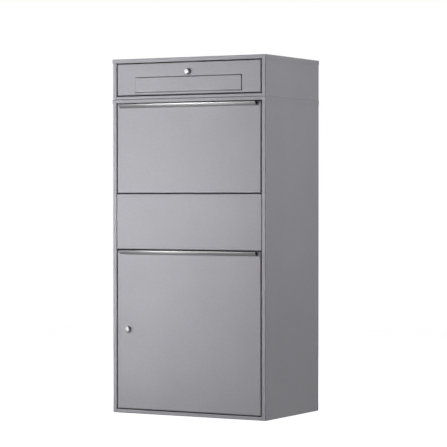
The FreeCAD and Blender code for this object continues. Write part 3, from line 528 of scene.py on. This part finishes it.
# ---- Fasteners ----------------------------------------------------------------------------------
# Head radius, head height, shank radius, width across the recess, depth of the recess.
CAM_SCREW = (4.5 * MM, 2.5 * MM, 2.0 * MM, 4.6 * MM, 1.4 * MM)
HANDLE_SCREW = (3.0 * MM, 2.0 * MM, 1.5 * MM, 3.2 * MM, 1.1 * MM)
MODULE_BOLT = (6.0 * MM, 3.0 * MM, 3.0 * MM, 4.0 * MM, 1.8 * MM)
MODULE_BOLT_SHANK = MODULE_BOLT[2]


def cross_recess(centre, axis, across, depth):
    """Cutter for a Phillips recess, as a four-armed star that narrows inwards."""
    place = Matrix.Translation(Vector(centre)) @ turning(axis)
    arm = across / 2
    slim = across * 0.11
    outline = []
    for quarter in range(4):
        turn = Matrix.Rotation(math.pi / 2 * quarter, 4, "Z")
        for spot in ((arm, -slim), (arm, slim), (slim, slim)):
            outline.append(turn @ Vector((spot[0], spot[1], 0.0)))
    count = len(outline)
    points = [place @ (spot + Vector((0, 0, 0.3 * MM))) for spot in outline]
    points += [place @ (spot * 0.45 + Vector((0, 0, -depth))) for spot in outline]
    faces = [tuple(range(count)), tuple(range(2 * count - 1, count - 1, -1))]
    for i in range(count):
        j = (i + 1) % count
        faces.append((i, j, count + j, count + i))
    return points, faces


def hex_recess(centre, axis, across, depth):
    """Cutter for a hexagon socket."""
    place = Matrix.Translation(Vector(centre)) @ turning(axis)
    radius = across / math.sqrt(3)
    outline = [
        (radius * math.cos(math.pi / 3 * i), radius * math.sin(math.pi / 3 * i)) for i in range(6)
    ]
    heights = (0.5 * MM, -depth)
    return prism_mesh(outline, lambda u, v, end: place @ Vector((u, v, heights[end])))


def domed_head(radius, height, steps=6):
    """Profile of a low round head, from its top to its underside."""
    profile = [(0.02 * MM, height)]
    for i in range(1, steps + 1):
        angle = math.pi / 2 * i / steps
        profile.append((radius * math.sin(angle) ** 0.8, height * (0.25 + 0.75 * math.cos(angle))))
    profile.append((radius, 0.1 * MM))
    profile.append((radius - 0.15 * MM, 0.0))
    return profile


def make_headed(node, body, materials, axis, sizes, recess):
    """Screws or bolts of one node. axis points from the shank out through the head."""
    head_r, head, shank_r, across, depth = sizes
    heads = []
    cutters = []
    direction = Vector(axis)
    for low, high in islands(node):
        middle = (low + high) / 2
        size = high - low
        length = abs(size.dot(direction))
        top = middle + direction * length / 2
        seat = top - direction * head
        profile = domed_head(head_r, head)
        profile += [(shank_r, 0.0), (shank_r, head - length + 0.3 * MM)]
        profile += [(shank_r - 0.3 * MM, head - length)]
        heads.append(closed_lathe(profile, seat, axis, 36))
        cutters.append(recess(top, axis, across, depth))
    piece = joined(node + "_turned", heads)
    carve(piece, joined("recesses", cutters))
    smooth(piece, 32.0)
    finish_piece(piece, materials["zinc_plated_steel"], "zinc_plated_steel", body, node)


def chamfered_nut(low, high, axis, bore):
    """Hexagon nut with the corners of both faces turned off."""
    middle = (low + high) / 2
    direction = Vector(axis)
    size = high - low
    thick = abs(size.dot(direction))
    flats = min(value for value in size if value > thick + 0.5 * MM)
    seat = middle - direction * thick / 2
    place = Matrix.Translation(seat) @ turning(axis)
    corner = flats / math.sqrt(3)
    segments = 48
    eased = 0.12 * flats / 2
    points = []
    rise = eased * 0.6
    levels = ((0.0, flats / 2), (rise, corner), (thick - rise, corner), (thick, flats / 2))
    for level, limit in levels:
        for i in range(segments):
            angle = 2 * math.pi * i / segments
            to_flat = (angle % (math.pi / 3)) - math.pi / 6
            radius = min(flats / 2 / math.cos(to_flat), limit)
            spot = Vector((radius * math.cos(angle), radius * math.sin(angle), level))
            points.append(place @ spot)
    for level in (thick, 0.0):
        for i in range(segments):
            angle = 2 * math.pi * i / segments
            points.append(place @ Vector((bore * math.cos(angle), bore * math.sin(angle), level)))
    faces = []
    for ring in range(6):
        for i in range(segments):
            j = (i + 1) % segments
            a = ring * segments
            b = ((ring + 1) % 6) * segments
            faces.append((a + i, a + j, b + j, b + i))
    return points, faces


def make_nuts(node, body, materials, axis, bore):
    parts = [chamfered_nut(low, high, axis, bore) for low, high in islands(node)]
    piece = smooth(joined(node + "_chamfered", parts), 25.0)
    finish_piece(piece, materials["zinc_plated_steel"], "zinc_plated_steel", body, node)


def make_rivets(materials):
    """Back panel rivets: a flat pulled mandrel in a rolled rim outside, a domed blind head inside."""
    node = "back_panel_rivets"
    parts = []
    for low, high in islands(node):
        middle = (low + high) / 2
        shank = 2.0 * MM
        head_r = (high.x - low.x) / 2
        thick = 1.2 * MM
        depth = high.y - low.y
        profile = [
            (0.7 * MM, 0.0),
            (0.75 * MM, 0.25 * MM),
            (1.3 * MM, 0.25 * MM),
            (1.45 * MM, 0.0),
            (shank, 0.0),
            (shank, depth - thick),
            (head_r - 0.2 * MM, depth - thick),
            (head_r, depth - thick * 0.75),
            (head_r * 0.75, depth - thick * 0.2),
            (head_r * 0.4, depth),
        ]
        parts.append(closed_lathe(profile, (middle.x, high.y, middle.z), (0, -1, 0), 28))
    piece = smooth(joined(node + "_pulled", parts), 32.0)
    finish_piece(piece, materials["zinc_plated_steel"], "zinc_plated_steel", "cabinet", node)


# ---- Buffers and sleeves ------------------------------------------------------------------------
def rounded_disc(radius, height, edge, steps=5):
    """Profile of a low disc whose outer rim is rounded over."""
    profile = [(radius * 0.02, 0.0), (radius, 0.0), (radius, height - edge)]
    for i in range(1, steps + 1):
        angle = math.pi / 2 * i / steps
        across = edge * math.cos(angle)
        up = edge * math.sin(angle)
        profile.append((radius - edge + across, height - edge + up))
    profile.append((radius * 0.02, height))
    return profile


def make_buffers(node, materials):
    """Rubber discs stuck to the stop brackets, rounded towards the door."""
    parts = []
    for low, high in islands(node):
        middle = (low + high) / 2
        height = high.y - low.y
        profile = rounded_disc((high.x - low.x) / 2, height, 0.7 * MM)
        parts.append(closed_lathe(profile, (middle.x, high.y, middle.z), (0, -1, 0), 32))
    piece = smooth(joined(node + "_rounded", parts), 32.0)
    finish_piece(piece, materials["black_rubber"], "black_rubber", "cabinet", node)


def make_sleeves(materials):
    """Ribbed rubber sleeves on the tray's stop studs."""
    parts = []
    node = "tray_stop_sleeves"
    for low, high in islands(node):
        middle = (low + high) / 2
        outer = (high.z - low.z) / 2
        length = high.x - low.x
        inner = 3.05 * MM
        profile = [(inner, 0.0), (outer - 0.6 * MM, 0.0), (outer, 0.6 * MM)]
        ribs = 4
        for i in range(ribs):
            start = 1.2 * MM + i * (length - 2.4 * MM) / ribs
            step = (length - 2.4 * MM) / ribs
            profile.append((outer, start))
            profile.append((outer - 0.5 * MM, start + step * 0.35))
            profile.append((outer - 0.5 * MM, start + step * 0.65))
            profile.append((outer, start + step))
        profile += [(outer, length - 0.6 * MM), (outer - 0.6 * MM, length)]
        profile += [(inner, length), (inner, 0.0)]
        parts.append(closed_lathe(profile, (low.x, middle.y, middle.z), (1, 0, 0), 36))
    piece = smooth(joined(node + "_ribbed", parts), 32.0)
    finish_piece(piece, materials["black_rubber"], "black_rubber", "cabinet", node)


# ---- Stage --------------------------------------------------------------------------------------
FLOOR_RADIUS = 4.0
FLOOR_SOLID = 0.35            # part of the radius within which the floor is opaque
FLOOR_GLOW = 0.8
HORIZON_BLEND = 0.25          # sine of the angle either side of level where sky and ground mix
SKY_LIGHT = 0.06
GROUND_LIGHT = 0.31
LIGHTS = {                    # place, target, width, height in metres; power in watts
    "strip": ((-1.02, -1.90, 0.75), (0.0, -0.15, 0.65), 0.10, 1.50, 10.5),
    "left": ((-2.60, -1.60, 1.20), (0.0, 0.0, 0.60), 0.80, 1.40, 30.0),
    "side_high": ((2.20, 2.40, 2.30), (0.23, 0.0, 0.60), 1.20, 1.20, 8.0),
    "side_middle": ((2.75, 1.45, 0.90), (0.23, 0.0, 0.60), 1.20, 1.20, 25.0),
    "top": ((0.0, 0.3, 3.2), (0.0, 0.0, 0.9), 1.60, 1.60, 45.0),
    "near_strip": ((-0.55, -0.89, 0.40), (-0.02, -0.16, 0.40), 0.05, 0.76, 0.80),
    "floor_card": ((-0.475, -0.675, 0.01), (-0.448, -0.633, 1.0), 0.07, 0.65, 0.35),
}


def area_light(name, place, target, width, height, power):
    data = bpy.data.lights.new(name, "AREA")
    data.shape = "RECTANGLE"
    data.size = width
    data.size_y = height
    data.energy = power
    light = bpy.data.objects.new(name, data)
    light.location = place
    towards = Vector(target) - Vector(place)
    light.rotation_euler = towards.to_track_quat("-Z", "Y").to_euler()
    light.visible_camera = False
    bpy.context.scene.collection.objects.link(light)


def disc_mesh(radius, rings, segments):
    """Flat disc on the ground, in rings."""
    points = [Vector((0, 0, 0))]
    faces = []
    for ring in range(1, rings + 1):
        for i in range(segments):
            angle = 2 * math.pi * i / segments
            reach = radius * ring / rings
            points.append(Vector((reach * math.cos(angle), reach * math.sin(angle), 0)))
    for i in range(segments):
        j = (i + 1) % segments
        faces.append((0, 1 + i, 1 + j))
        for ring in range(rings - 1):
            a = 1 + ring * segments
            b = a + segments
            faces.append((a + i, b + i, b + j, a + j))
    return points, faces


def make_floor():
    """Pale floor under the object, fading out into the white surroundings a few metres away."""
    floor = solid("floor", *disc_mesh(FLOOR_RADIUS, 8, 48))
    shader = Shader("floor_white")
    tone = shader.ramp(shader.noise(1.5, 2.0), grey(0.80), grey(0.82))
    shader.link(tone, shader.surface.inputs["Base Color"])
    shader.set(Roughness=0.9, Specular_IOR_Level=0.0)
    shader.surface.inputs["Emission Color"].default_value = grey(1.0)
    shader.surface.inputs["Emission Strength"].default_value = FLOOR_GLOW
    distance = shader.node("ShaderNodeVectorMath", operation="LENGTH")
    shader.link(shader.position, distance.inputs[0])
    fade = shader.node("ShaderNodeMapRange", interpolation_type="SMOOTHSTEP")
    fade.inputs["From Min"].default_value = FLOOR_RADIUS * FLOOR_SOLID
    fade.inputs["From Max"].default_value = FLOOR_RADIUS
    fade.inputs["To Min"].default_value = 1.0
    fade.inputs["To Max"].default_value = 0.0
    shader.link(distance.outputs["Value"], fade.inputs["Value"])
    shader.link(fade.outputs["Result"], shader.surface.inputs["Alpha"])
    floor.data.materials.append(shader.material)
    floor.visible_diffuse = False
    floor.visible_glossy = False


def make_world():
    """White studio surroundings: plain white behind the object, dimmer where they light it."""
    world = bpy.data.worlds.new("studio")
    bpy.context.scene.world = world
    world.use_nodes = True
    tree = world.node_tree
    behind = tree.nodes["Background"]
    behind.inputs["Color"].default_value = grey(1.0)
    behind.inputs["Strength"].default_value = 1.0
    direction = tree.nodes.new("ShaderNodeSeparateXYZ")
    coordinates = tree.nodes.new("ShaderNodeTexCoord")
    tree.links.new(coordinates.outputs["Generated"], direction.inputs[0])
    height = tree.nodes.new("ShaderNodeMapRange")
    height.inputs["From Min"].default_value = -HORIZON_BLEND
    height.inputs["From Max"].default_value = HORIZON_BLEND
    height.inputs["To Min"].default_value = GROUND_LIGHT
    height.inputs["To Max"].default_value = SKY_LIGHT
    tree.links.new(direction.outputs["Z"], height.inputs["Value"])
    around = tree.nodes.new("ShaderNodeBackground")
    around.inputs["Color"].default_value = grey(1.0)
    tree.links.new(height.outputs["Result"], around.inputs["Strength"])
    rays = tree.nodes.new("ShaderNodeLightPath")
    mix = tree.nodes.new("ShaderNodeMixShader")
    tree.links.new(rays.outputs["Is Camera Ray"], mix.inputs["Fac"])
    tree.links.new(around.outputs["Background"], mix.inputs[1])
    tree.links.new(behind.outputs["Background"], mix.inputs[2])
    tree.links.new(mix.outputs["Shader"], tree.nodes["World Output"].inputs["Surface"])


def make_lights():
    for name, (place, target, width, height, power) in LIGHTS.items():
        area_light(name, place, target, width, height, power)


# ---- Making it all ------------------------------------------------------------------------------
bpy.context.scene.view_settings.view_transform = "Standard"
make_camera()
made_materials = make_materials()
dress_cad_nodes(made_materials)

for handle_body in ("parcel_flap", "parcel_door"):
    make_handle(handle_body + "_handle", handle_body, made_materials)

for prefix, door_body in (("mail", "mail_door"), ("parcel", "parcel_door")):
    lock_body = prefix + "_lock"
    make_lock_head(lock_body + "_housing", door_body, made_materials)
    make_lock_barrel(lock_body + "_barrel", lock_body, made_materials)
    make_nuts(lock_body + "_nut", door_body, made_materials, (0, 1, 0), LOCK_THREAD_R)
    make_headed(
        lock_body + "_cam_screw", lock_body, made_materials, (0, 1, 0), CAM_SCREW, cross_recess,
    )

for screw_body in ("parcel_flap", "parcel_door"):
    screw_node = screw_body + "_handle_screws"
    make_headed(screw_node, screw_body, made_materials, (0, 1, 0), HANDLE_SCREW, cross_recess)

make_headed("module_bolts", "cabinet", made_materials, (0, 0, 1), MODULE_BOLT, hex_recess)
make_nuts("module_nuts", "cabinet", made_materials, (0, 0, 1), MODULE_BOLT_SHANK)
make_rivets(made_materials)
for buffer_node in ("flap_stop_buffers", "door_stop_buffers"):
    make_buffers(buffer_node, made_materials)
make_sleeves(made_materials)

make_floor()
make_world()
make_lights()
